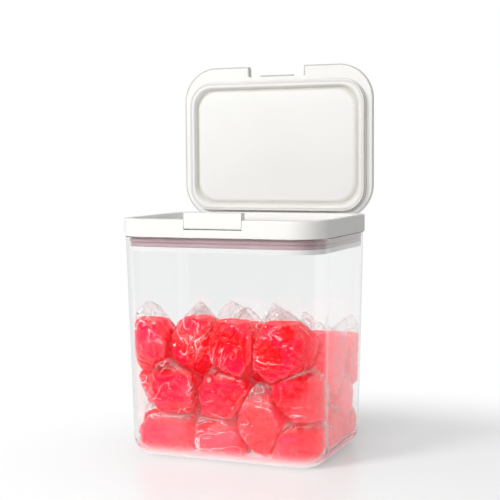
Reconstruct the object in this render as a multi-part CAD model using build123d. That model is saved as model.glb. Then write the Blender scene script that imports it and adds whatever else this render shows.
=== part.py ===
from build123d import *
import math
import os
import random

# Flip-top storage tub for laundry pods, in millimetres.
# It stands on its base with the front facing -Y and +Z up, and the lid is modelled open.

# Collar and lid, seen from above
width = 180.0
depth = 145.0
corner_radius = 28.5

# Clear tub, one moulding whose walls lean in towards the base
tub_height = 184.9
tub_inset = 1.2
tub_wall = 2.6
tub_base = 3.6
side_draft = 1.1
front_draft = 2.3
tub_base_fillet = 14.5
tub_rim_fillet = 0.6

# White collar that sits on the rim, with a sunken ledge round its mouth
seat_gap = 0.3
collar_height = 14.4
collar_edge_fillet = 1.4
side_deck = 5.0
front_deck = 12.3
rear_deck = 13.0
recess_depth = 5.0
recess_radius = 22.0
recess_edge_fillet = 1.5
ledge_width = 4.5

# Plug ring under the collar, and the soft gasket held in its groove
skirt_depth = 12.4
skirt_wall = 2.2
skirt_flange = 4.0
skirt_clearance = 0.7
groove_depth = 2.7
gasket_gap = 1.1
gasket_clearance = 0.3
gasket_lower_step = 0.7
gasket_lower_rib = 3.0
gasket_slit = 0.7
gasket_slit_depth = 1.2
gasket_rib_fillet = 0.7

# Flip lid
lid_height = 6.5
lid_radius = 31.0
lid_rear_inset = 8.3
lid_edge_fillet = 3.6
lid_skin = 2.2
lid_seat = 2.5
notch_width = 53.0
notch_depth = 9.4
notch_radius = 2.2
catch_width = 31.8
catch_reach = 1.6
catch_thickness = 1.8
catch_height = 1.7

# Liner inside the lid, with its plug ridge and seal
plug_side_gap = 0.5
plug_rear_gap = 1.5
plug_depth = 5.0
plug_lean = 1.2
ridge_width = 4.6
slope_width = 4.4
slope_depth = 2.3
liner_panel = 1.6
seal_width = 1.7
seal_height = 2.8

# Hinge at the back
hinge_roll = 7.0
knuckle_width = 14.0
knuckle_inset = 27.0
knuckle_radius = 4.0
knuckle_gap = 0.4
hinge_pin_radius = 1.6
hinge_pin_grip = 5.5
running_gap = 0.05
open_angle = 90.0

# Latch at the front
latch_width = 49.7
latch_depth = 7.4
latch_rise = 5.6
latch_foot = 7.3
latch_side_gap = 0.35
latch_rear_gap = 1.4
latch_floor_gap = 0.55
latch_wall = 1.8
latch_cheek = 2.45
latch_roof = 2.2
latch_fillet = 1.5
hook_width = 31.0
hook_reach = 1.4
hook_thickness = 1.5
latch_pivot_in = 3.2
latch_pivot_up = 5.2
latch_pin_radius = 1.1
latch_pin_grip = 4.0

# Leaf spring behind the latch
leaf_width = 20.0
leaf_thickness = 0.4
leaf_foot = 2.4
leaf_bow = 1.6

# Pods: soft square sachets that press against each other and against the tub
pod_length = 60.0
pod_width = 56.0
pod_thickness = 44.0
pod_seam_slope = 62.0
pod_crown_slope = 32.0
pod_crown_inset = 9.0
pod_crown_height = 13.0
pod_gap = 0.3
pod_count = 40
pod_pitch = 40.0
pod_wall_reach = 15.0
pod_sinking = 0.35
pod_rounds = 60
heap_level = 94.0
heap_slope = 0.2
pod_seed = 254

# Heights and places that follow from the sizes above
collar_low = tub_height + seat_gap
collar_top = collar_low + collar_height
recess_floor = collar_top - recess_depth
hinge_y = depth / 2 - hinge_roll
knuckle_centre = width / 2 - knuckle_inset
hinge_z = collar_top - hinge_roll
lid_plane = collar_top + seat_gap
lid_top = lid_plane + lid_height
lid_rear = depth / 2 - lid_rear_inset
recess_front = -depth / 2 + front_deck
recess_rear = depth / 2 - rear_deck
recess_width = width - 2 * side_deck
latch_rear = -depth / 2 + latch_depth
latch_low = collar_top - latch_foot - seat_gap
latch_high = collar_top + latch_rise
latch_y = -depth / 2 + latch_pivot_in
latch_z = latch_low + latch_pivot_up


def block(size_x, size_y, radius, low, high, y=0.0):
    """Upright block with rounded corners."""
    return extrude(Pos(0, y, low) * RectangleRounded(size_x, size_y, radius), amount=high - low)


def span_block(half_x, front, rear, radius, low, high):
    """Upright rounded block given by its half width and its front and rear faces."""
    return block(2 * half_x, rear - front, radius, low, high, (front + rear) / 2)


def edges_at(solid, height):
    """Edges that lie flat at one height."""
    return solid.edges().filter_by_position(Axis.Z, height - 0.01, height + 0.01)


def bar(radius, x_low, x_high, y, z):
    """Round bar along X."""
    return Pos((x_low + x_high) / 2, y, z) * Rot(0, 90, 0) * Cylinder(radius, x_high - x_low)


def brick(x_low, x_high, y_low, y_high, z_low, z_high):
    """Plain box given by its faces."""
    size = (x_high - x_low, y_high - y_low, z_high - z_low)
    return Pos((x_low + x_high) / 2, (y_low + y_high) / 2, (z_low + z_high) / 2) * Box(*size)


def leans():
    """How far the tub's sides and its front lean in, for each millimetre down."""
    return math.tan(math.radians(side_draft)), math.tan(math.radians(front_draft))


def tub_outline(height, inset):
    """Half width, half depth and corner radius at a height, inset from the collar's outline."""
    side_lean, front_lean = leans()
    down = tub_height - height
    half_x = width / 2 - inset - down * side_lean
    half_y = depth / 2 - inset - down * front_lean
    return half_x, half_y, corner_radius - inset - down * side_lean


def drafted_block(inset, low, fillet_radius):
    """Block that leans in towards its rounded bottom edge."""
    sections = []
    for height in (low, tub_height):
        half_x, half_y, radius = tub_outline(height, inset)
        sections.append(Pos(0, 0, height) * RectangleRounded(2 * half_x, 2 * half_y, radius))
    solid = loft(sections, ruled=True)
    return fillet(edges_at(solid, low), fillet_radius)


def tub():
    outside = drafted_block(tub_inset, 0.0, tub_base_fillet)
    inside = drafted_block(tub_inset + tub_wall, tub_base, tub_base_fillet - tub_wall)
    shell = outside - inside
    return fillet(edges_at(shell, tub_height), tub_rim_fillet)


def rear_roll_waste():
    """What lies behind the hinge's round back and would catch the lid as it swings."""
    quadrant = brick(-width, width, hinge_y, depth, hinge_z, collar_top + hinge_roll)
    return quadrant - bar(hinge_roll, -width, width, hinge_y, hinge_z)


def knuckle_spans():
    for side in (-1, 1):
        centre = side * knuckle_centre
        yield centre - knuckle_width / 2, centre + knuckle_width / 2


def collar():
    body = block(width, depth, corner_radius, collar_low, collar_top)
    body = fillet(edges_at(body, collar_top), collar_edge_fillet)
    half = recess_width / 2
    body -= span_block(half, recess_front, recess_rear, recess_radius, recess_floor, collar_top + 1)
    rim = [e for e in edges_at(body, collar_top) if abs(e.center().X) < half + side_deck / 2
           and recess_front - front_deck / 2 < e.center().Y < recess_rear + rear_deck / 2]
    body = fillet(rim, recess_edge_fillet)
    body -= span_block(half - ledge_width, recess_front + ledge_width, recess_rear - ledge_width,
                       recess_radius - ledge_width, collar_low - 1, recess_floor + 1)
    body -= rear_roll_waste()
    pocket = knuckle_radius + knuckle_gap
    for x_low, x_high in knuckle_spans():
        body -= brick(x_low - knuckle_gap, x_high + knuckle_gap, hinge_y - pocket, depth,
                      hinge_z - pocket, collar_top + 1)
        body -= bar(hinge_pin_radius + running_gap, x_low - hinge_pin_grip - running_gap,
                    x_high + hinge_pin_grip + running_gap, hinge_y, hinge_z)
    half = latch_width / 2 + latch_side_gap
    body -= brick(-half, half, -depth, latch_rear + latch_rear_gap,
                  latch_low - latch_floor_gap, collar_top + 1)
    grip = latch_width / 2 + latch_side_gap + latch_pin_grip + running_gap
    body -= bar(latch_pin_radius + running_gap, -grip, grip, latch_y, latch_z)
    return body


def skirt_ring(outer_inset, inner_inset, low, high):
    """Ring between two insets from the tub's inner wall at the bottom of the skirt."""
    half_x, half_y, radius = tub_outline(collar_low - skirt_depth, tub_inset + tub_wall)
    outer = block(2 * (half_x - outer_inset), 2 * (half_y - outer_inset), radius - outer_inset, low, high)
    inner = block(2 * (half_x - inner_inset), 2 * (half_y - inner_inset), radius - inner_inset, low, high)
    return outer - inner


def skirt():
    low = collar_low - skirt_depth
    groove = skirt_clearance + groove_depth
    wall = skirt_ring(groove, groove + skirt_wall, low, collar_low)
    flange = skirt_ring(skirt_clearance, groove + skirt_wall, low, low + skirt_flange)
    return wall + flange


def gasket():
    groove = skirt_clearance + groove_depth
    low = collar_low - skirt_depth + skirt_flange
    split = low + gasket_lower_rib
    top = collar_low - gasket_gap
    lower = skirt_ring(gasket_clearance + gasket_lower_step, groove, low, split)
    middle = skirt_ring(gasket_clearance + gasket_slit_depth, groove, split, split + gasket_slit)
    upper = skirt_ring(gasket_clearance, groove, split + gasket_slit, top)
    lower = fillet(outer_edges(lower, low, split), gasket_rib_fillet)
    upper = fillet(outer_edges(upper, split + gasket_slit, top), gasket_rib_fillet)
    return lower + middle + upper


def outer_edges(ring, low, high):
    """Edges of a ring's outer outline at its bottom and top."""
    chosen = []
    for height in (low, high):
        face = ring.faces().filter_by(Axis.Z).filter_by_position(Axis.Z, height - 0.01, height + 0.01)[0]
        chosen += face.outer_wire().edges()
    return chosen


def plug_outline(inset, low, high, taper=0.0):
    """Block that follows the lid's plug, inset from its base outline."""
    half = recess_width / 2 - plug_side_gap - inset
    front = recess_front + plug_side_gap + inset
    rear = recess_rear - plug_rear_gap - inset
    radius = recess_radius - plug_side_gap - inset
    outline = Pos(0, (front + rear) / 2, high) * RectangleRounded(2 * half, rear - front, radius)
    return extrude(outline, amount=low - high, taper=taper)


def plug_ring(outer_inset, inner_inset, low, high):
    return plug_outline(outer_inset, low, high) - plug_outline(inner_inset, low, high)


def opened(solid):
    """Swings a piece of the closed lid up about the hinge."""
    return solid.rotate(Axis((0, hinge_y, hinge_z), (1, 0, 0)), -open_angle)


def knuckle(x_low, x_high):
    """Round knuckle on a web that joins it to the lid."""
    eye = bar(knuckle_radius, x_low, x_high, hinge_y, hinge_z)
    web = brick(x_low, x_high, hinge_y - knuckle_radius, lid_rear, hinge_z, lid_plane)
    bore = bar(hinge_pin_radius + running_gap, x_low - 1, x_high + 1, hinge_y, hinge_z)
    return eye + web - bore


def lid_shell():
    body = span_block(width / 2, -depth / 2, lid_rear, lid_radius, lid_plane, lid_top)
    body = fillet(edges_at(body, lid_top), lid_edge_fillet)
    body -= plug_outline(lid_seat, lid_plane - 1, lid_top - lid_skin)
    body -= block(notch_width, 2 * notch_depth, notch_radius, lid_plane - 1, lid_top + 1, -depth / 2)
    notch_back = -depth / 2 + notch_depth
    catch_low = lid_plane + catch_height
    body += brick(-catch_width / 2, catch_width / 2, notch_back - catch_reach, notch_back + 1,
                  catch_low, catch_low + catch_thickness)
    for x_low, x_high in knuckle_spans():
        body += knuckle(x_low, x_high)
    return opened(body)


def lid_liner():
    """Inner moulding of the lid: a plug ridge round a sunken panel."""
    tip = lid_plane - plug_depth
    lean = math.degrees(math.atan(plug_lean / plug_depth))
    body = plug_outline(0.0, tip, lid_plane, taper=lean)
    body -= plug_ring(0.0, plug_lean + seal_width, tip - 1, tip + seal_height)
    crest = plug_lean + ridge_width
    panel = crest + slope_width
    sides = []
    for inset, height in ((crest, tip), (panel, tip + slope_depth)):
        sides.append(plug_outline(inset, height, height + 0.001).faces().sort_by(Axis.Z)[0])
    body -= loft(sides, ruled=True)
    body -= plug_outline(lid_seat + plug_lean, tip + slope_depth + liner_panel, lid_plane + 1)
    return opened(body)


def lid_seal():
    tip = lid_plane - plug_depth
    return opened(plug_ring(plug_lean, plug_lean + seal_width, tip, tip + seal_height))


def hinge_pin(x_low, x_high):
    return bar(hinge_pin_radius, x_low - hinge_pin_grip, x_high + hinge_pin_grip, hinge_y, hinge_z)


def latch_button():
    half = latch_width / 2
    front = -depth / 2
    body = brick(-half, half, front, latch_rear, latch_low, latch_high)
    front_edges = body.edges().filter_by(Axis.X).filter_by_position(Axis.Y, front - 0.01, front + 0.01)
    body = fillet(front_edges, latch_fillet)
    inner = half - latch_cheek
    body -= brick(-inner, inner, front + latch_wall, latch_rear + 1, latch_low - 1, latch_high - latch_roof)
    body += brick(-hook_width / 2, hook_width / 2, latch_rear - 1, latch_rear + hook_reach,
                  latch_high - hook_thickness, latch_high)
    return body - bar(latch_pin_radius + running_gap, -half - 1, half + 1, latch_y, latch_z)


def latch_pin():
    grip = latch_width / 2 + latch_side_gap + latch_pin_grip
    return bar(latch_pin_radius, -grip, grip, latch_y, latch_z)


def latch_leaf():
    """Bent strip that is fixed to the pocket's rear wall and pushes the latch's foot out."""
    wall = latch_rear + latch_rear_gap
    tip = -depth / 2 + latch_wall + seat_gap
    low = latch_low - latch_floor_gap
    line = Polyline((wall, low + leaf_foot), (wall, low), (tip + leaf_bow, low), (tip, low + leaf_bow),
                    (tip, low + leaf_foot), (tip + leaf_thickness, low + leaf_foot),
                    (tip + leaf_thickness, low + leaf_bow), (tip + leaf_bow, low + leaf_thickness),
                    (wall - leaf_thickness, low + leaf_thickness), (wall - leaf_thickness, low + leaf_foot),
                    close=True)
    return extrude(Plane.YZ.offset(-leaf_width / 2) * make_face(line), amount=leaf_width)


def cut_by(loops, normal, offset):
    """Cuts a convex solid, held as loops of corners, by a plane and closes the cut."""
    kept = []
    rim = []
    for loop in loops:
        left = []
        for start, end in zip(loop, loop[1:] + loop[:1]):
            before = start.dot(normal) - offset
            after = end.dot(normal) - offset
            if before <= 0:
                left.append(start)
            if before * after < 0:
                crossing = start + (end - start) * (before / (before - after))
                left.append(crossing)
                rim.append(crossing)
        if len(left) > 2:
            kept.append(left)
    if len(rim) > 4:
        middle = sum(rim, Vector(0, 0, 0)) * (1 / len(rim))
        across = (max(rim, key=lambda p: (p - middle).length) - middle).normalized()
        along = normal.cross(across)
        rim.sort(key=lambda p: math.atan2((p - middle).dot(along), (p - middle).dot(across)))
        kept.append(rim[::2])
    return kept


def box_loops(centre, reach):
    """Six faces of a cube about a centre, as loops of corners."""
    loops = []
    for axis in range(3):
        for side in (-reach, reach):
            loop = []
            for a, b in ((-reach, -reach), (reach, -reach), (reach, reach), (-reach, reach)):
                corner = [a, b]
                corner.insert(axis, side)
                loop.append(centre + Vector(*corner))
            loops.append(loop)
    return loops


def pod_planes(centre, turn):
    """Planes of one sachet: two broad faces and two rows of bevels down to its seam, put in place."""
    half_x, half_y = pod_length / 2, pod_width / 2
    planes = []
    for lift in (-1, 1):
        planes.append((Vector(0, 0, lift), pod_thickness / 2))
        bevels = ((pod_seam_slope, 0, 0), (pod_crown_slope, pod_crown_inset, pod_crown_height))
        for slope, inset, height in bevels:
            across = math.sin(math.radians(slope))
            rise = math.cos(math.radians(slope))
            x_reach = across * (half_x - inset) + rise * height
            y_reach = across * (half_y - inset) + rise * height
            for side in (-1, 1):
                planes.append((Vector(side * across, 0, lift * rise), x_reach))
                planes.append((Vector(0, side * across, lift * rise), y_reach))
    placed = []
    for normal, offset in planes:
        normal = normal.rotate(Axis.X, turn[0]).rotate(Axis.Y, turn[1]).rotate(Axis.Z, turn[2])
        placed.append((normal, offset + normal.dot(centre)))
    return placed


def tub_planes():
    """Planes just inside the tub's inner wall, round its corners and over its base."""
    base_radius = tub_base_fillet - tub_wall
    level = tub_base + base_radius
    half_x, half_y, corner = tub_outline(level, tub_inset + tub_wall)
    side_lean, front_lean = leans()
    step = math.radians(22.5)
    round_gap = pod_gap + corner * (1 / math.cos(step / 2) - 1)
    planes = [(Vector(0, 0, -1), -tub_base - pod_gap)]
    for turn in range(16):
        along_x = math.cos(turn * step)
        along_y = math.sin(turn * step)
        flat_x = (half_x - corner) * abs(along_x) + (half_y - corner) * abs(along_y)
        lean = side_lean * (1 - abs(along_y)) + front_lean * abs(along_y)
        for tilt in (math.atan(lean), math.radians(24), math.radians(45), math.radians(68)):
            gap = pod_gap if turn % 4 == 0 and tilt == math.atan(lean) else round_gap
            reach = (flat_x + corner - base_radius) * math.cos(tilt) + base_radius
            normal = Vector(along_x * math.cos(tilt), along_y * math.cos(tilt), -math.sin(tilt))
            planes.append((normal, reach - level * math.sin(tilt) - gap))
    return planes


def pod_centres(dice):
    """Centres of the pods: dropped in at random, then pushed apart and down until they lie close."""
    half_x, half_y, _ = tub_outline(tub_base + tub_base_fillet, tub_inset + tub_wall)
    low = [pod_wall_reach - half_x, pod_wall_reach - half_y, tub_base + pod_wall_reach]
    high = [half_x - pod_wall_reach, half_y - pod_wall_reach, heap_level]
    centres = [[dice.uniform(a, b) for a, b in zip(low, high)] for _ in range(pod_count)]
    for _ in range(pod_rounds):
        for number, centre in enumerate(centres):
            centre[2] -= pod_sinking
            for other in centres[:number]:
                apart = math.dist(centre, other)
                if apart < pod_pitch:
                    push = (pod_pitch - apart) / apart / 2
                    for axis in range(3):
                        step = (centre[axis] - other[axis]) * push
                        centre[axis] += step
                        other[axis] -= step
        for centre in centres:
            high[2] = heap_level - heap_slope * (centre[1] - low[1])
            for axis in range(3):
                over = max(low[axis] - centre[axis], 0) - max(centre[axis] - high[axis], 0)
                centre[axis] += over * 1.3
    return sorted(centres, key=lambda centre: centre[2])


def pod_places():
    """Centre and turn of each pod, from the lowest to the highest, each with one corner up."""
    dice = random.Random(pod_seed)
    places = []
    for centre in pod_centres(dice):
        turn = (dice.uniform(60, 120), dice.uniform(32, 58), dice.uniform(0, 360))
        places.append((Vector(*centre), turn))
    return places


def pods():
    places = pod_places()
    walls = tub_planes()
    for index, (centre, turn) in enumerate(places):
        loops = box_loops(centre, pod_length)
        for normal, offset in pod_planes(centre, turn) + walls:
            loops = cut_by(loops, normal, offset)
        for other, (neighbour, _) in enumerate(places):
            step = neighbour - centre
            if other != index and step.length < 2 * pod_length:
                normal = step.normalized()
                loops = cut_by(loops, normal, normal.dot(centre + neighbour) / 2 - pod_gap / 2)
        yield ConvexPolyhedron([corner for loop in loops for corner in loop])


def write(name, solid):
    export_step(solid, "parts/" + name + ".step")


def main():
    os.makedirs("parts", exist_ok=True)
    write("tub", tub())
    write("collar", collar())
    write("collar_skirt", skirt())
    write("gasket", gasket())
    write("lid_shell", lid_shell())
    write("lid_liner", lid_liner())
    write("lid_seal", lid_seal())
    for name, span in zip(("hinge_pin_left", "hinge_pin_right"), knuckle_spans()):
        write(name, hinge_pin(*span))
    write("latch_button", latch_button())
    write("latch_pin", latch_pin())
    write("latch_leaf", latch_leaf())
    for number, pod in enumerate(pods(), start=1):
        write("pod_%02d" % number, pod)


main()
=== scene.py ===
import math

import bmesh
import bpy
import numpy as np
from mathutils import Matrix, Vector, noise
from mathutils.bvhtree import BVHTree


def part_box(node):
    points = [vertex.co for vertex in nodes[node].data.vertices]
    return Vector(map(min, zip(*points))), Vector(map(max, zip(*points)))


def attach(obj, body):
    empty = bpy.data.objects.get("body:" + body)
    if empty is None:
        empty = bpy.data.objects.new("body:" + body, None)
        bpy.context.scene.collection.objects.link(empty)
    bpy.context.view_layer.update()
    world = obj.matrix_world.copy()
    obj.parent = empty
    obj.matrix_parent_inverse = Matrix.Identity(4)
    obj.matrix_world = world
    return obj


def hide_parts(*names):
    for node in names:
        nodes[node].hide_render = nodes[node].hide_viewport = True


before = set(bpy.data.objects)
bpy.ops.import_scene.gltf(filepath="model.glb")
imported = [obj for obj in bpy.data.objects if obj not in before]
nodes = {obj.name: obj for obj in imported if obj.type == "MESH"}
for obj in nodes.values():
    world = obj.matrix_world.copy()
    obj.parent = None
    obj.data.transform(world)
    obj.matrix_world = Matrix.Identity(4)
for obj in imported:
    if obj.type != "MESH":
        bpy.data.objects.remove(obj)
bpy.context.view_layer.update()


# The table and the studio round it
# A matt white sheet in a white room, lit by a large soft lamp at the front left, a wide one at the front and
# a faint one above. The camera sees sheet and room white, and shiny pieces mirror them darker in front.

class Wire:
    """A socket in a material. Sums and products of wires lay the Math nodes that work them out."""

    def __init__(self, tree, socket=None):
        self.tree = tree
        self.socket = socket

    def node(self, kind, settings=None, inputs=None, output=0):
        """Adds a node, sets its own settings first and then its sockets, and gives one of its outputs."""
        made = self.tree.nodes.new("ShaderNode" + kind)
        for name, value in (settings or {}).items():
            setattr(made, name, value)
        for name, value in (inputs or {}).items():
            if isinstance(value, Wire):
                self.tree.links.new(value.socket, made.inputs[name])
            else:
                made.inputs[name].default_value = value
        return Wire(self.tree, made.outputs[output] if made.outputs else None)

    def math(self, operation, *values, clamp=False):
        settings = {"operation": operation, "use_clamp": clamp}
        return self.node("Math", settings, dict(enumerate(values)))

    def __add__(self, other):
        return self.math("ADD", self, other)

    def __sub__(self, other):
        return self.math("SUBTRACT", self, other)

    def __rsub__(self, other):
        return self.math("SUBTRACT", other, self)

    def __mul__(self, other):
        return self.math("MULTIPLY", self, other)

    def __pow__(self, other):
        return self.math("POWER", self, other)

    __radd__ = __add__
    __rmul__ = __mul__

    def clamped(self):
        return self.math("ADD", self, 0.0, clamp=True)

    def between(self, low, high):
        """Rises smoothly from 0 at low to 1 at high."""
        settings = {"interpolation_type": "SMOOTHSTEP"}
        return self.node("MapRange", settings, {"Value": self, "From Min": low, "From Max": high})

    def blend(self, first, second):
        """Colour that goes from first to second as this wire goes from 0 to 1."""
        # A colour Mix node has its two colours at sockets 6 and 7, and its mixed colour is output 2.
        return self.node("Mix", {"data_type": "RGBA"}, {0: self, 6: first, 7: second}, output=2)


def blank_material(name):
    made = bpy.data.materials.new(name)
    made.use_nodes = True
    made.node_tree.nodes.clear()
    return made, Wire(made.node_tree)


def seen_ray(start):
    """1 for rays from the camera and for those that a shiny or clear surface sends on."""
    seen = start.node("LightPath", output="Is Camera Ray")
    for kind in ("Is Glossy Ray", "Is Transmission Ray"):
        seen = seen.math("MAXIMUM", seen, start.node("LightPath", output=kind))
    return seen


def mirror_ray(start):
    """1 for rays that a shiny surface has thrown back, 0 for those that only pass through clear ones."""
    return start.math("GREATER_THAN", start.node("LightPath", output="Glossy Depth"), 0.5)


def white_light(start, kind, strength):
    """Even white from the room, as Background, or from the sheet, as Emission."""
    return start.node(kind, inputs={"Color": (1, 1, 1, 1), "Strength": strength})


room_light = 0.31
mirrored_sides = 0.85
mirrored_front = 0.04
front_to_sides = (-0.35, 0.3)

world = bpy.data.worlds.new("white_room")
bpy.context.scene.world = world
world.use_nodes = True
world.node_tree.nodes.clear()
room = Wire(world.node_tree)
dim = white_light(room, "Background", room_light)
bright = white_light(room, "Background", 1.0)
grey_sides = white_light(room, "Background", mirrored_sides)
dark_front = white_light(room, "Background", mirrored_front)
toward = room.node("SeparateXYZ", inputs={0: room.node("TexCoord", output="Generated")}, output="Y")
mirrored = room.node("MixShader", inputs={0: toward.between(*front_to_sides), 1: dark_front, 2: grey_sides})
shown = room.node("MixShader", inputs={0: mirror_ray(room), 1: bright, 2: mirrored})
room_mix = room.node("MixShader", inputs={0: seen_ray(room), 1: dim, 2: shown})
room.node("OutputWorld", inputs={"Surface": room_mix})

# Near the tub the sheet keeps its shadows, and further off it fades to even white.
sheet_white = (0.85, 0.85, 0.85, 1)
sheet_glow = 0.24
shadow_middle = (0.13, -0.06, 0)
shadow_reach = (0.17, 0.37)
white_through_tub = 0.6
front_of_sheet = (-0.32, -0.08)

sheet_paint, start = blank_material("matt_white_sheet")
place = start.node("TexCoord", output="Object")
grain = start.node("TexNoise", inputs={"Vector": place, "Scale": 180.0})
fine = start.node("Bump", inputs={"Height": grain, "Strength": 0.03, "Distance": 0.0005})
away = start.node("VectorMath", {"operation": "DISTANCE"}, {0: place, 1: shadow_middle}, output="Value")
fade = away.between(*shadow_reach)
passed_on = start.node("LightPath", output="Is Transmission Ray")
sheet_look = start.node("BsdfPrincipled", inputs={
    "Base Color": sheet_white, "Roughness": 0.3, "Specular IOR Level": 0.14, "Normal": fine})
sheet_lift = white_light(start, "Emission", sheet_glow)
lifted = start.node("AddShader", inputs={0: sheet_look, 1: sheet_lift})
near = start.node("MixShader", inputs={0: seen_ray(start), 1: sheet_look, 2: lifted})
whitened = fade.math("MAXIMUM", fade, passed_on * white_through_tub) * seen_ray(start)
white_glow = white_light(start, "Emission", 1.0)
straight = start.node("MixShader", inputs={0: whitened, 1: near, 2: white_glow})
grey_glow = white_light(start, "Emission", mirrored_sides)
dark_glow = white_light(start, "Emission", mirrored_front)
behind = start.node("SeparateXYZ", inputs={0: place}, output="Y").between(*front_of_sheet)
mirrored = start.node("MixShader", inputs={0: fade, 1: near, 2: grey_glow})
mirrored = start.node("MixShader", inputs={0: behind, 1: dark_glow, 2: mirrored})
sheet_shader = start.node("MixShader", inputs={0: mirror_ray(start), 1: straight, 2: mirrored})
start.node("OutputMaterial", inputs={"Surface": sheet_shader})

sheet_mesh = bpy.data.meshes.new("white_sheet")
sheet_mesh.from_pydata([(-4, -2, 0), (4, -2, 0), (4, 6, 0), (-4, 6, 0)], [], [(0, 1, 2, 3)])
sheet_mesh.materials.append(sheet_paint)


def add_object(name, mesh):
    made = bpy.data.objects.new(name, mesh)
    bpy.context.scene.collection.objects.link(made)
    return made


add_object("white_sheet", sheet_mesh)


def soft_lamp(name, place, aim, size, watts):
    lamp = bpy.data.lights.new(name, "AREA")
    lamp.shape = "RECTANGLE"
    lamp.size, lamp.size_y = size
    lamp.energy = watts
    holder = add_object(name, lamp)
    holder.location = place
    holder.rotation_euler = (Vector(aim) - Vector(place)).to_track_quat("-Z", "Y").to_euler()


soft_lamp("front_left_softbox", (-0.75, -1.15, 0.95), (0.0, 0.0, 0.13), (0.45, 0.5), 12.2)
soft_lamp("front_fill", (0.05, -1.5, 0.85), (0.0, 0.0, 0.15), (0.8, 0.6), 9.6)
soft_lamp("top_softbox", (0.1, 0.05, 1.35), (0.0, 0.0, 0.1), (0.9, 0.7), 0.5)

# The camera stands a little to the right of the front and just above the lid's seat.
camera_place = Vector((0.376131, -0.921889, 0.247795))
camera_turn = math.radians(22.0362)
camera_tip = math.radians(4.4452)
camera_roll = math.radians(-0.4183)
camera_lens = 84.4992

ahead = Vector((-math.sin(camera_turn) * math.cos(camera_tip),
                math.cos(camera_turn) * math.cos(camera_tip), -math.sin(camera_tip)))
sideways = Vector((math.cos(camera_turn), math.sin(camera_turn), 0))
upward = sideways.cross(ahead)
right = sideways * math.cos(camera_roll) + upward * math.sin(camera_roll)
up = upward * math.cos(camera_roll) - sideways * math.sin(camera_roll)
camera_data = bpy.data.cameras.new("camera")
camera_data.sensor_width = 36.0
camera_data.lens = camera_lens
camera = add_object("camera", camera_data)
camera.matrix_world = Matrix.Translation(camera_place) @ Matrix((right, up, -ahead)).transposed().to_4x4()
bpy.context.scene.camera = camera
bpy.context.scene.view_settings.view_transform = "Standard"


# The clear tub
# One injection moulding in clear plastic with an even wall, rounded corners and a rolled foot. It is drawn
# with both of its faces, so that light bends in the wall, at the corners and in the thick foot.

half_width = 0.0888
half_depth = 0.0713
corner = 0.0273
rim_height = 0.1849
wall = 0.0026
base = 0.0036
foot_radius = 0.0145
side_lean = math.tan(math.radians(1.1))
front_lean = math.tan(math.radians(2.3))
rim_bend = 0.0002
rim_round = 0.0006
rim_flat = 0.0009
rim_insets = (rim_round, rim_flat, wall - rim_flat, wall - rim_round)
wall_levels = [
    foot_radius + 0.0025, 0.06, 0.12, rim_height - 0.0016, rim_height - rim_flat, rim_height - rim_round]


def tub_ring(height, inset, count=14):
    """Points round the tub's outline at a height, inset from its outer face."""
    down = rim_height - height
    half_x = half_width - inset - down * side_lean
    half_y = half_depth - inset - down * front_lean
    radius = max(corner - inset - down * side_lean, 0.0005)
    points = []
    for quarter, (side_x, side_y) in enumerate(((1, 1), (-1, 1), (-1, -1), (1, -1))):
        for step in range(count + 1):
            angle = math.pi / 2 * (quarter + step / count)
            points.append((side_x * (half_x - radius) + radius * math.cos(angle),
                           side_y * (half_y - radius) + radius * math.sin(angle), height))
    return points


def rounded_foot(low, inset, radius, steps=9):
    """Rings from the flat underside up round the foot."""
    for step in range(steps + 1):
        angle = math.pi / 2 * step / steps
        yield tub_ring(low + radius * (1 - math.cos(angle)), inset + radius * (1 - math.sin(angle)))


def strips(rings):
    """Faces between each ring of points and the next one."""
    count = len(rings[0])
    faces = []
    for row in range(len(rings) - 1):
        low, high = row * count, (row + 1) * count
        for step in range(count):
            after = (step + 1) % count
            faces.append((low + step, low + after, high + after, high + step))
    return faces


def mesh_of(name, rings, faces):
    mesh = bpy.data.meshes.new(name)
    mesh.from_pydata([point for ring in rings for point in ring], [], faces)
    return mesh


tub_rings = list(rounded_foot(0.0, 0.0, foot_radius))
tub_rings += [tub_ring(height, 0.0) for height in wall_levels]
tub_rings += [tub_ring(rim_height - rim_bend, rim_bend)]
tub_rings += [tub_ring(rim_height, inset) for inset in rim_insets]
tub_rings += [tub_ring(rim_height - rim_bend, wall - rim_bend)]
tub_rings += [tub_ring(height, wall) for height in reversed(wall_levels)]
tub_rings += reversed(list(rounded_foot(base, wall, foot_radius - wall)))
ring_size = len(tub_rings[0])
underside = tuple(reversed(range(ring_size)))
inner_floor = tuple(range((len(tub_rings) - 1) * ring_size, len(tub_rings) * ring_size))
tub_mesh = mesh_of("clear_tub", tub_rings, strips(tub_rings) + [underside, inner_floor])
for face in tub_mesh.polygons:
    face.use_smooth = len(face.vertices) == 4
clear_tub = add_object("clear_tub", tub_mesh)

# Painted light: the foot is frosted and glows, pale below and rosy above, for the floor and the red pods seen
# through it.
foot_pale_glow = (0.96, 0.95, 0.95, 1)
foot_rosy_glow = (0.96, 0.42, 0.45, 1)
foot_tint = (0.002, 0.009)
foot_frost = (0.003, 0.015)
frost_share = 0.75

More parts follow.
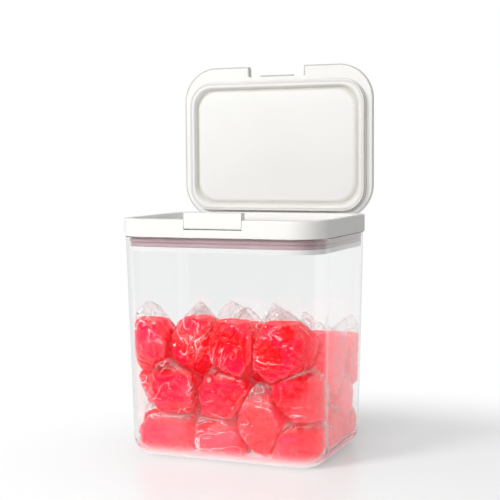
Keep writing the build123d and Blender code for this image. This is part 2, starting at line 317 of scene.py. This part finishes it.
clear_plastic, start = blank_material("clear_moulded_plastic")
place = start.node("TexCoord", output="Object")
flow = start.node("TexNoise", inputs={"Vector": place, "Scale": 9.0, "Detail": 1.0})
ripple = start.node("Bump", inputs={"Height": flow, "Strength": 0.05, "Distance": 0.002})
scuffs = start.node("TexNoise", inputs={"Vector": place, "Scale": 60.0, "Detail": 4.0}).between(0.45, 0.8)
glass = start.node("BsdfPrincipled", inputs={
    "Base Color": (0.985, 0.988, 0.99, 1), "Roughness": scuffs * 0.03 + 0.012, "IOR": 1.47,
    "Transmission Weight": 1.0, "Normal": ripple})
passing = start.node("BsdfTransparent", inputs={"Color": (0.93, 0.93, 0.935, 1)})
shade = start.node("LightPath", output="Is Shadow Ray")
shade = shade.math("MAXIMUM", shade, start.node("LightPath", output="Is Diffuse Ray"))
level = start.node("SeparateXYZ", inputs={0: place}, output="Z")
glow_tint = level.between(*foot_tint).blend(foot_pale_glow, foot_rosy_glow)
glowing_frost = start.node("BsdfPrincipled", inputs={
    "Base Color": glow_tint, "Roughness": 0.5, "Emission Color": glow_tint, "Emission Strength": 0.4})
frosting = (1 - level.between(*foot_frost)) * frost_share
frosted = start.node("MixShader", inputs={0: frosting, 1: glass, 2: glowing_frost})
clear_mix = start.node("MixShader", inputs={0: shade, 1: frosted, 2: passing})
start.node("OutputMaterial", inputs={"Surface": clear_mix})
clear_tub.data.materials.append(clear_plastic)
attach(clear_tub, "tub")
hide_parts("tub")


# The laundry pods
# Soft sachets of clear film round red liquid, welded round the middle, pressed together and against the tub's
# wall. The liquid lies level in them, and the film's empty corners stick up above it.

pod_names = sorted(name for name in nodes if name.startswith("pod_"))
remesh_size = 0.0016
film_gap = 0.0002
film_thickness = 0.0005
rounded_share = 0.78
liquid_share = 0.74
liquid_change = 0.1
liquid_tilt = 0.08

crease_scale = 95
crease_start = 0.8
crease_span = 0.2
crease_depth = 2.6
bend_scale = 0.6
bend_reach = 0.9
swell_scale = 0.35
swell_height = 0.9
wrinkle_size = 0.0005

# The creases' noise starts from this number, so that they lie the same each time.
noise.seed_set(1)

seam_steps = 120
seam_tuck = 0.0012
seam_reach = 0.0022
seam_change = 0.45
wave_turns = 5
flutter_turns = 14
well_outside = 0.08
middle_wave, middle_flutter = 0.0012, 0.0004
outer_wave, outer_flutter = 0.0022, 0.0011


def baked(made):
    """Puts an object's modifiers into its mesh."""
    bpy.context.view_layer.update()
    graph = bpy.context.evaluated_depsgraph_get()
    mesh = bpy.data.meshes.new_from_object(made.evaluated_get(graph))
    made.modifiers.clear()
    made.data = mesh


def softened(name, source):
    """Copy of a solid with even small faces and its edges rounded off a little."""
    made = add_object(name, source.data.copy())
    even = made.modifiers.new("even", "REMESH")
    even.mode = "VOXEL"
    even.voxel_size = remesh_size
    rounded = made.modifiers.new("rounded", "SMOOTH")
    rounded.factor = 0.5
    rounded.iterations = 2
    baked(made)
    return made


def ease(mesh, height, turns=5):
    """Rounds off the part of a sachet below a height, where the liquid fills it out."""
    eased = bmesh.new()
    eased.from_mesh(mesh)
    filled = [vertex for vertex in eased.verts if vertex.co.z < height]
    for turn in range(turns):
        bmesh.ops.smooth_vert(
            eased, verts=filled, factor=0.5, use_axis_x=True, use_axis_y=True, use_axis_z=True)
    eased.to_mesh(mesh)
    eased.free()


def corners_of(mesh):
    points = np.empty(len(mesh.vertices) * 3)
    mesh.vertices.foreach_get("co", points)
    return points.reshape(-1, 3)


def normals_of(mesh):
    directions = np.empty(len(mesh.vertices) * 3)
    mesh.vertices.foreach_get("normal", directions)
    return directions.reshape(-1, 3)


def smooth_all(mesh):
    for face in mesh.polygons:
        face.use_smooth = True


def keep_inside(points):
    """Moves points that would pass through the tub's inner wall back onto it."""
    down = rim_height - points[:, 2]
    radius = corner - wall - down * side_lean
    core_x = half_width - wall - down * side_lean - radius
    core_y = half_depth - wall - down * front_lean - radius
    away = np.abs(points[:, :2]) - np.stack([core_x, core_y], axis=1)
    away = np.maximum(away, 0)
    far = np.hypot(away[:, 0], away[:, 1])
    over = far > radius - film_gap
    shrink = np.where(over, (radius - film_gap) / np.maximum(far, 1e-9), 1.0)[:, None]
    core = np.minimum(np.abs(points[:, :2]), np.stack([core_x, core_y], axis=1))
    points[:, :2] = np.sign(points[:, :2]) * (core + away * shrink)
    points[:, 2] = np.maximum(points[:, 2], base + film_gap)
    return points


def crumple(points, directions, seed):
    """Pushes points in and out along their normals, in broad swells and in the long creases of thin film."""
    moved = points.copy()
    for number, (point, direction) in enumerate(zip(points, directions)):
        spot = Vector(point) * crease_scale + Vector((seed * 7.3, seed * 1.7, seed * 3.1))
        bend = noise.noise_vector(spot * bend_scale) * bend_reach
        crease = 1 - abs(noise.noise(spot + bend))
        swell = noise.noise(spot * swell_scale)
        sunk = crease_depth * max(crease - crease_start, 0) / crease_span
        moved[number] += direction * wrinkle_size * (swell * swell_height - sunk)
    return moved


def seam_strip(name, pod_mesh, seed):
    """Wavy welded edge of film that runs round a sachet between its two broad faces."""
    points = corners_of(pod_mesh)
    centre = points.mean(axis=0)
    axes = np.linalg.eigh(np.cov((points - centre).T))[1]
    thin, across, along = (Vector(axes[:, k]) for k in range(3))
    tree = BVHTree.FromPolygons([v.co for v in pod_mesh.vertices], [p.vertices for p in pod_mesh.polygons])
    inner, middle, outer = [], [], []
    for step in range(seam_steps):
        angle = 2 * math.pi * step / seam_steps
        out = across * math.cos(angle) + along * math.sin(angle)
        hit = tree.ray_cast(Vector(centre) + out * well_outside, -out)[0]
        wave = noise.noise(Vector((
            math.cos(angle) * wave_turns + seed, math.sin(angle) * wave_turns, seed * 0.7)))
        flutter = noise.noise(Vector((
            math.cos(angle) * flutter_turns, math.sin(angle) * flutter_turns + seed, 1.3)))
        reach = seam_reach * (1 + seam_change * wave)
        inner.append(hit - out * seam_tuck)
        middle.append(hit + out * reach * 0.5 + thin * (wave * middle_wave + flutter * middle_flutter))
        outer.append(hit + out * reach + thin * (wave * outer_wave + flutter * outer_flutter))
    rings = [keep_inside(np.array(ring)).tolist() for ring in (inner, middle, outer)]
    mesh = mesh_of(name, rings, strips(rings))
    smooth_all(mesh)
    return add_object(name, mesh)


def ridges(start, place, scale, detail, low):
    """Thin lines along the crests of a noise, for creases and the painted highlights on them."""
    waves = start.node("TexNoise", inputs={"Vector": place, "Scale": scale, "Detail": detail})
    centred = waves * 2 - 1
    return (1 - centred.math("ABSOLUTE", centred)).between(low, 1.0)


chance_turns = (37, 61, 83)
chance_shifts = (5, 3, 7)


def own_place(start):
    """Place on a sachet, turned and shifted by a chance of its own, so that no two sachets look alike."""
    chance = start.node("ObjectInfo", output="Random")
    turn = start.node("CombineXYZ", inputs={axis: chance * by for axis, by in enumerate(chance_turns)})
    shift = start.node("CombineXYZ", inputs={axis: chance * by for axis, by in enumerate(chance_shifts)})
    return start.node("Mapping", inputs={
        "Vector": start.node("TexCoord", output="Object"), "Rotation": turn, "Location": shift})


# The liquid is a clear red gel with a painted glow for the light passing through it. It throws only a faint
# red.
liquid_deep = (0.84, 0.0, 0.001, 1)
liquid_bright = (1.0, 0.006, 0.085, 1)
liquid_rim_highlight = (1.0, 0.03, 0.06, 1)
liquid_thrown = (0.25, 0.02, 0.03, 1)
liquid_light = (1.0, 0.001, 0.006, 1)
no_light = (0, 0, 0, 1)

red_liquid, start = blank_material("red_liquid")
place = own_place(start)
drift = start.node("TexNoise", inputs={"Vector": place, "Scale": 38.0, "Detail": 1.0})
swirl = start.node("TexNoise", inputs={"Vector": place, "Scale": 85.0, "Detail": 2.0})
own = start.node("ObjectInfo", output="Random")
tone = (drift.between(0.42, 0.6) * 0.6 + own * 0.55).clamped()
# Lighter red at the liquid's sharp edges is a painted highlight; the swirl only varies the tone.
rim = start.node("NewGeometry", output="Pointiness").between(0.505, 0.54)
rim_highlight_and_swirl = rim * 0.4 + swirl.between(0.6, 0.8) * 0.2
liquid_colour = rim_highlight_and_swirl.blend(tone.blend(liquid_deep, liquid_bright), liquid_rim_highlight)
scattered = start.node("LightPath", output="Is Diffuse Ray")
liquid_colour = scattered.blend(liquid_colour, liquid_thrown)
liquid_glow = scattered.blend(liquid_light, no_light)
liquid_relief = start.node("Bump", inputs={
    "Height": drift + swirl * 0.25, "Strength": 0.4, "Distance": 0.0015})
liquid_shader = start.node("BsdfPrincipled", inputs={
    "Base Color": liquid_colour, "Roughness": 0.4, "Specular IOR Level": 0.1,
    "Emission Color": liquid_glow, "Emission Strength": 0.58, "Normal": liquid_relief})
start.node("OutputMaterial", inputs={"Surface": liquid_shader})
red_liquid.cycles.emission_sampling = "NONE"

# The film is clear, milky where gathered or folded, with painted highlights on its creases and a painted
# sheen edge on.
# Below the liquid's level the film is painted rosy, for the red light showing through it, and it has a faint
# painted glow.
painted_rosy_film = (1.0, 0.42, 0.46, 1)
film_white = (0.98, 0.97, 0.97, 1)
rosy_light = (1, 0.35, 0.4, 1)
white_lit = (1, 0.97, 0.97, 1)
above_liquid = (0.009, 0.017)

clear_film, start = blank_material("clear_water_soluble_film")
place = own_place(start)
warp = start.node("TexNoise", inputs={"Vector": place, "Scale": 40.0, "Detail": 2.0}, output="Color")
bent = start.node("VectorMath", {"operation": "MULTIPLY_ADD"}, {0: warp, 1: (0.005, 0.005, 0.005), 2: place})
pulled = start.node("Mapping", inputs={"Vector": bent, "Scale": (1.0, 1.0, 0.11)})
gathers = ridges(start, pulled, 90.0, 0.0, 0.96)
threads = ridges(start, pulled, 240.0, 1.0, 0.93)
where = start.node("TexNoise", inputs={"Vector": place, "Scale": 34.0, "Detail": 1.0})
edge = start.node("NewGeometry", output="Pointiness").between(0.504, 0.56)
veil = start.node("TexNoise", inputs={"Vector": bent, "Scale": 26.0, "Detail": 1.0}).between(0.53, 0.66)
# The gathers and threads are milky creases that also carry painted highlights.
folds_and_highlights = gathers * where.between(0.48, 0.6) * 0.7 + threads * where.between(0.54, 0.68) * 0.5
# Film seen edge on turns whiter: a painted sheen.
grazing_sheen = start.node("LayerWeight", inputs={"Blend": 0.3}, output="Facing")
milky_and_sheen = (edge * 0.22 + folds_and_highlights + veil * 0.13 + grazing_sheen ** 3 * 0.14).clamped()
dents = start.node("TexNoise", inputs={"Vector": bent, "Scale": 62.0, "Detail": 2.0})
relief = start.node("Bump", inputs={
    "Height": dents + gathers * 0.12 + threads * 0.04, "Strength": 1.0, "Distance": 0.0028})
facing = start.node("LayerWeight", inputs={"Blend": 0.5, "Normal": relief}, output="Facing")
shine = start.node("BsdfGlossy", inputs={"Color": (1, 1, 1, 1), "Roughness": 0.07, "Normal": relief})
through = start.node("BsdfTransparent", inputs={"Color": (1, 1, 1, 1)})
skin = start.node("MixShader", inputs={0: facing ** 5 * 0.55 + 0.055, 1: through, 2: shine})
height = start.node("SeparateXYZ", inputs={0: start.node("TexCoord", output="Object")}, output="Z")
pale = (height.between(*above_liquid) + folds_and_highlights * 1.3).clamped()
cloudy = start.node("BsdfPrincipled", inputs={
    "Base Color": pale.blend(painted_rosy_film, film_white), "Roughness": 0.25, "Normal": relief,
    "Emission Color": pale.blend(rosy_light, white_lit), "Emission Strength": 0.14})
lit = 1 - start.node("LightPath", output="Is Shadow Ray") * 0.8
film_mix = start.node("MixShader", inputs={0: milky_and_sheen * lit, 1: skin, 2: cloudy})
start.node("OutputMaterial", inputs={"Surface": film_mix})


def centred(made, centre):
    """Puts the object's own origin in the sachet's middle and leaves its mesh in place."""
    made.data.transform(Matrix.Translation(-centre))
    made.matrix_world = Matrix.Translation(centre)


for number, name in enumerate(pod_names, start=1):
    low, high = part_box(name)
    middle = (low + high) / 2
    tall = high.z - low.z
    film = softened(name + "_film", nodes[name])
    ease(film.data, low.z + tall * rounded_share)
    points = keep_inside(crumple(corners_of(film.data), normals_of(film.data), number))
    film.data.vertices.foreach_set("co", points.ravel())
    smooth_all(film.data)

    liquid = add_object(name + "_liquid", film.data.copy())
    points = corners_of(liquid.data) - normals_of(liquid.data) * film_thickness
    liquid.data.vertices.foreach_set("co", points.ravel())
    shaved = bmesh.new()
    shaved.from_mesh(liquid.data)
    top = low.z + tall * (liquid_share + liquid_change * noise.noise(Vector((number * 1.7, 0.3, 0.9))))
    tilt = Vector((noise.noise(Vector((number, 2.2, 0))) * liquid_tilt,
                   noise.noise(Vector((number, 4.1, 0))) * liquid_tilt, 1))
    geometry = shaved.verts[:] + shaved.edges[:] + shaved.faces[:]
    cut = bmesh.ops.bisect_plane(shaved, geom=geometry, plane_co=(middle.x, middle.y, top),
                                 plane_no=tilt.normalized(), clear_outer=True)
    rim = [item for item in cut["geom_cut"] if isinstance(item, bmesh.types.BMEdge)]
    bmesh.ops.holes_fill(shaved, edges=rim)
    shaved.to_mesh(liquid.data)
    shaved.free()
    for face in liquid.data.polygons:
        face.use_smooth = len(face.vertices) < 5

    seam = seam_strip(name + "_seam", film.data, number)
    for piece, material in ((film, clear_film), (liquid, red_liquid), (seam, clear_film)):
        piece.data.materials.clear()
        piece.data.materials.append(material)
        centred(piece, middle)
        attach(piece, "tub")
    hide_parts(name)


# The white collar and its plug ring
# Two mouldings in white plastic: the collar that sits on the tub's rim, and the ring under it that fits in
# the tub and carries the gasket. Both have a satin surface from a lightly etched mould.

def moulded_white(name, colour, roughness, grain_size, grain_depth, shade_painter=None):
    """White moulded plastic: etched grain, a faint drift in gloss and tone, and any painted shade given to
    the piece.
    """
    made, start = blank_material(name)
    place = start.node("TexCoord", output="Object")
    etched = start.node("TexNoise", inputs={"Vector": place, "Scale": grain_size, "Detail": 2.0})
    drift = start.node("TexNoise", inputs={"Vector": place, "Scale": 16.0, "Detail": 2.0})
    shade = drift.between(0.3, 0.7).blend(tuple(part * 0.985 for part in colour[:3]) + (1,), colour)
    # Painted shade, where a piece is given it, is blended over the tone here.
    if shade_painter:
        mask, darker = shade_painter(start, place)
        shade = mask.blend(shade, darker)
    bump = start.node("Bump", inputs={"Height": etched, "Strength": 0.12, "Distance": grain_depth})
    shader = start.node("BsdfPrincipled", inputs={
        "Base Color": shade, "Roughness": drift * 0.08 + roughness, "Specular IOR Level": 0.35,
        "Normal": bump})
    start.node("OutputMaterial", inputs={"Surface": shader})
    return made


def refinish(name, material):
    """Gives a CAD piece its finished material."""
    for slot in nodes[name].material_slots:
        slot.material = material


satin_white = moulded_white("satin_white_plastic", (0.85, 0.845, 0.82, 1), 0.3, 1600.0, 0.0002)
smooth_white = moulded_white("smooth_white_plastic", (0.96, 0.96, 0.95, 1), 0.25, 1600.0, 0.0001)
refinish("collar", satin_white)
refinish("collar_skirt", smooth_white)


# The gasket
# A ring of mauve silicone with two ribs, stretched into the plug ring's groove. It grips the tub's inner
# wall. It comes out of its mould matt, and is slightly uneven in tone.

mauve_dark = (0.58, 0.42, 0.445, 1)
mauve_light = (0.63, 0.46, 0.485, 1)

silicone, start = blank_material("mauve_silicone")
place = start.node("TexCoord", output="Object")
dust = start.node("TexNoise", inputs={"Vector": place, "Scale": 500.0, "Detail": 3.0})
band = start.node("TexNoise", inputs={"Vector": place, "Scale": 22.0, "Detail": 1.0})
soft = start.node("Bump", inputs={"Height": dust, "Strength": 0.15, "Distance": 0.0002})
silicone_shader = start.node("BsdfPrincipled", inputs={
    "Base Color": band.between(0.3, 0.7).blend(mauve_dark, mauve_light), "Roughness": dust * 0.15 + 0.38,
    "Specular IOR Level": 0.4, "Normal": soft})
start.node("OutputMaterial", inputs={"Surface": silicone_shader})
refinish("gasket", silicone)


# The lid
# An outer shell and an inner moulding with a plug ridge round a sunken panel, both in white plastic and
# clipped together. A thin white silicone ring on the ridge closes the collar's recess.

tray_low, tray_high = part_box("lid_liner")
shell_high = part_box("lid_shell")[1]
shell_length = 0.1367
shell_corner = 0.031
shell_front = 0.0728
notch_half = 0.0265
notch_floor = shell_high.z - 0.0094
# The grey lines at the lid's edge and notch, and the darker catch, are painted shade.
shade_line_fade = (0.0007, 0.0013)
shade_grey = (0.5, 0.49, 0.46, 1)
# The warm grey in the panel's groove is painted shade.
groove_shade_warm = (0.62, 0.59, 0.53, 1)


def painted_edge_shade(start, place):
    """Painted shade: a fine grey line round the lid's rounded edge and along its notch's sides, and a darker
    catch in the notch.
    """
    across = start.node("SeparateXYZ", inputs={0: place}, output="X")
    deep = start.node("SeparateXYZ", inputs={0: place}, output="Y")
    tall = start.node("SeparateXYZ", inputs={0: place}, output="Z")
    wide = across.math("ABSOLUTE", across)
    high = tall - (shell_high.z - shell_length / 2)
    past_x = wide - (shell_high.x - shell_corner)
    past_z = high.math("ABSOLUTE", high) - (shell_length / 2 - shell_corner)
    corner_x = past_x.math("MAXIMUM", past_x, 0.0)
    corner_z = past_z.math("MAXIMUM", past_z, 0.0)
    reach = (corner_x ** 2 + corner_z ** 2) ** 0.5
    line = reach.between(shell_corner - shade_line_fade[1], shell_corner - shade_line_fade[0])
    raised = tall.between(notch_floor + 0.0001, notch_floor + 0.0005)
    notch_wall_shade = raised * (1 - wide.between(notch_half + shade_line_fade[0], notch_half + shade_line_fade[1]))
    catch = raised * (1 - wide.between(notch_half - 0.003, notch_half - 0.002))
    facing_panel = 1 - deep.between(shell_front + 0.0002, shell_front + 0.001)
    line = line.math("MAXIMUM", line, notch_wall_shade) * facing_panel
    return line.math("MAXIMUM", line, catch), shade_grey


def groove_shade(start, place):
    """Painted shade: a warmer, darker white in the groove round the panel."""
    deep = start.node("SeparateXYZ", inputs={0: place}, output="Y")
    return deep.between(tray_high.y - 0.0022, tray_high.y - 0.0006) * 0.8, groove_shade_warm


panel_white = moulded_white(
    "fine_matt_white_plastic", (0.82, 0.82, 0.8, 1), 0.42, 2200.0, 0.0002, groove_shade)
edge_shaded_white = moulded_white(
    "lid_satin_white_plastic", (0.84, 0.835, 0.81, 1), 0.3, 1600.0, 0.0002, painted_edge_shade)
seal_white = moulded_white("white_silicone", (0.74, 0.71, 0.69, 1), 0.45, 900.0, 0.0002)
refinish("lid_shell", edge_shaded_white)
refinish("lid_seal", seal_white)

tray_half = tray_high.x
tray_middle = (tray_low.z + tray_high.z) / 2
tray_reach = (tray_high.z - tray_low.z) / 2
tray_back = tray_high.y
tray_corner = 0.0215
tray_crease = math.radians(40)

# Each row: how far in from the edge, how far out to the front, and how much wider than even its corners are.
tray_profile = [
    (0.0000, 0.0000, 0.0), (0.0005, 0.0022, 0.0), (0.0030, 0.0022, 0.0), (0.0030, 0.0047, 0.0),
    (0.0031, 0.0049, 0.0), (0.0034, 0.0050, 0.0), (0.0048, 0.0050, 0.1), (0.0053, 0.0048, 0.2),
    (0.0057, 0.0042, 0.3), (0.0067, 0.0018, 0.4), (0.0071, 0.0008, 0.5), (0.0075, 0.0003, 0.6),
    (0.0079, 0.0001, 0.6), (0.0082, 0.0002, 0.6), (0.0102, 0.0025, 0.6), (0.0106, 0.0028, 0.6),
    (0.0120, 0.0030, 0.6), (0.0180, 0.0032, 0.6), (0.0300, 0.0034, 0.7), (0.0400, 0.0035, 0.8)]


def tray_ring(inset, proud, radius, count=16):
    """Rounded rectangle of points in the lid's plane, proud of it towards the front."""
    points = []
    for quarter, (side_x, side_z) in enumerate(((1, 1), (-1, 1), (-1, -1), (1, -1))):
        for step in range(count + 1):
            angle = math.pi / 2 * (quarter + step / count)
            wide = side_x * (tray_half - inset - radius) + radius * math.cos(angle)
            high = tray_middle + side_z * (tray_reach - inset - radius) + radius * math.sin(angle)
            points.append((wide, tray_back - proud, high))
    return points


tray_rings = []
for inset, proud, widened in tray_profile:
    tray_rings.append(tray_ring(inset, proud, max(tray_corner - inset * (1 - widened), 0.002)))
ring_size = len(tray_rings[0])
panel = tuple(range((len(tray_rings) - 1) * ring_size, len(tray_rings) * ring_size))
tray_mesh = mesh_of("lid_inner_tray", tray_rings, strips(tray_rings) + [panel])
smooth_all(tray_mesh)
tray_mesh.materials.append(panel_white)
tray = add_object("lid_inner_tray", tray_mesh)
creased = tray.modifiers.new("sharp_edges", "EDGE_SPLIT")
creased.split_angle = tray_crease
baked(tray)
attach(tray, "lid")
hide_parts("lid_liner")


# The latch and the steel parts
# A hollow white rocker at the front turns on a steel pin, and a bent steel strip pushes it back upright. The
# lid turns on two short pins of the same drawn steel, pressed into the collar.

refinish("latch_button", satin_white)

steel_dark = (0.52, 0.52, 0.53, 1)
steel_light = (0.62, 0.62, 0.62, 1)

steel, start = blank_material("drawn_steel")
place = start.node("TexCoord", output="Object")
drawn = start.node("Mapping", inputs={"Vector": place, "Scale": (40.0, 2500.0, 2500.0)})
lines = start.node("TexNoise", inputs={"Vector": drawn, "Scale": 1.0, "Detail": 3.0})
steel_bump = start.node("Bump", inputs={"Height": lines, "Strength": 0.15, "Distance": 0.0001})
steel_shader = start.node("BsdfPrincipled", inputs={
    "Base Color": lines.between(0.2, 0.8).blend(steel_dark, steel_light),
    "Metallic": 1.0, "Roughness": lines * 0.2 + 0.22, "Normal": steel_bump})
start.node("OutputMaterial", inputs={"Surface": steel_shader})
for name in ("hinge_pin_left", "hinge_pin_right", "latch_pin", "latch_leaf"):
    refinish(name, steel)
